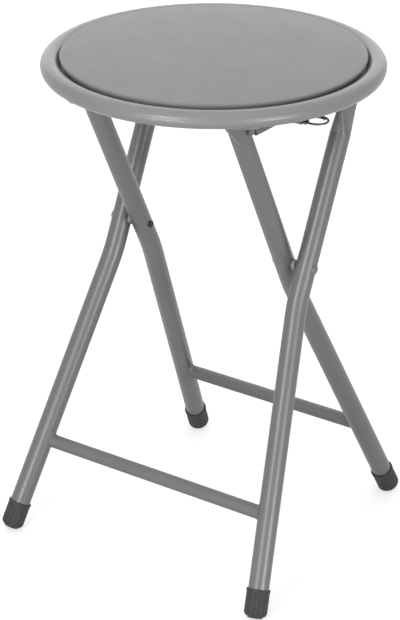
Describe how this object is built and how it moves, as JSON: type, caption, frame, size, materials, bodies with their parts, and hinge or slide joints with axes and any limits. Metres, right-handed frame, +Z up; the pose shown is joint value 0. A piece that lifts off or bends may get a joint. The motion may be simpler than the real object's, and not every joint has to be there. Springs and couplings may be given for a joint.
{
  "type": "folding stool",
  "caption": "Folding stool with a round padded seat in a tube rim, crossed tube legs joined by crossbars, and a safety catch under the seat.",
  "frame": {"origin": "on the floor, under the centre of the seat", "axes": "+Z up, X along the fold axis, +Y towards the side that the outer legs lean to as they rise"},
  "size_m": [0.3, 0.3, 0.4648],
  "materials": {
    "leg_paint": "satin grey",
    "rim_paint": "satin silver grey",
    "rail_paint": "satin grey",
    "cover_vinyl": "matte smooth vinyl",
    "foam": "open cell foam",
    "board_wood": "raw plywood",
    "foot_rubber": "matte, fluted",
    "rivet_steel": "zinc plated",
    "zinc_steel": "zinc plated",
    "catch_steel": "dark plated",
    "spacer_plastic": "moulded"
  },
  "bodies": {
    "outer_frame": {"outer_leg_right": "leg_paint", "outer_leg_left": "leg_paint", "outer_crossbar": "leg_paint", "outer_foot_right": "foot_rubber", "outer_foot_left": "foot_rubber", "pivot_rivet_right": "rivet_steel", "pivot_rivet_left": "rivet_steel", "pivot_spacer_right": "spacer_plastic", "pivot_spacer_left": "spacer_plastic", "hinge_rivet_right": "rivet_steel", "hinge_rivet_left": "rivet_steel", "hinge_spacer_right": "spacer_plastic", "hinge_spacer_left": "spacer_plastic"},
    "inner_frame": {"inner_leg_right": "leg_paint", "inner_leg_left": "leg_paint", "inner_crossbar": "leg_paint", "inner_top_rod": "zinc_steel", "inner_foot_right": "foot_rubber", "inner_foot_left": "foot_rubber"},
    "seat": {"seat_ring": "rim_paint", "seat_board": "board_wood", "seat_foam": "foam", "seat_cover": "cover_vinyl", "cover_staples": "zinc_steel", "seat_rail_right": "rail_paint", "seat_rail_left": "rail_paint", "rail_screws": "zinc_steel", "catch_rivet": "rivet_steel"},
    "catch": {"catch_lever": "catch_steel", "catch_loop": "catch_steel"}
  },
  "joints": [
    {"name": "frame_fold", "type": "hinge", "parent": "outer_frame", "child": "inner_frame", "pos_m": [0, -0.0014, 0.2804], "axis": [-1, 0, 0], "range_deg": [0, 47.62]},
    {"name": "seat_fold", "type": "hinge", "parent": "outer_frame", "child": "seat", "pos_m": [0, 0.06544, 0.4238], "axis": [-1, 0, 0], "range_deg": [0, 114.99]},
    {"name": "catch_release", "type": "hinge", "parent": "seat", "child": "catch", "pos_m": [0.091, -0.04654, 0.4283], "axis": [-1, 0, 0], "range_deg": [0, 18]}
  ],
  "couplings": [
    {"joint": "seat_fold", "follows": "frame_fold", "ratio": 2.4147}
  ]
}
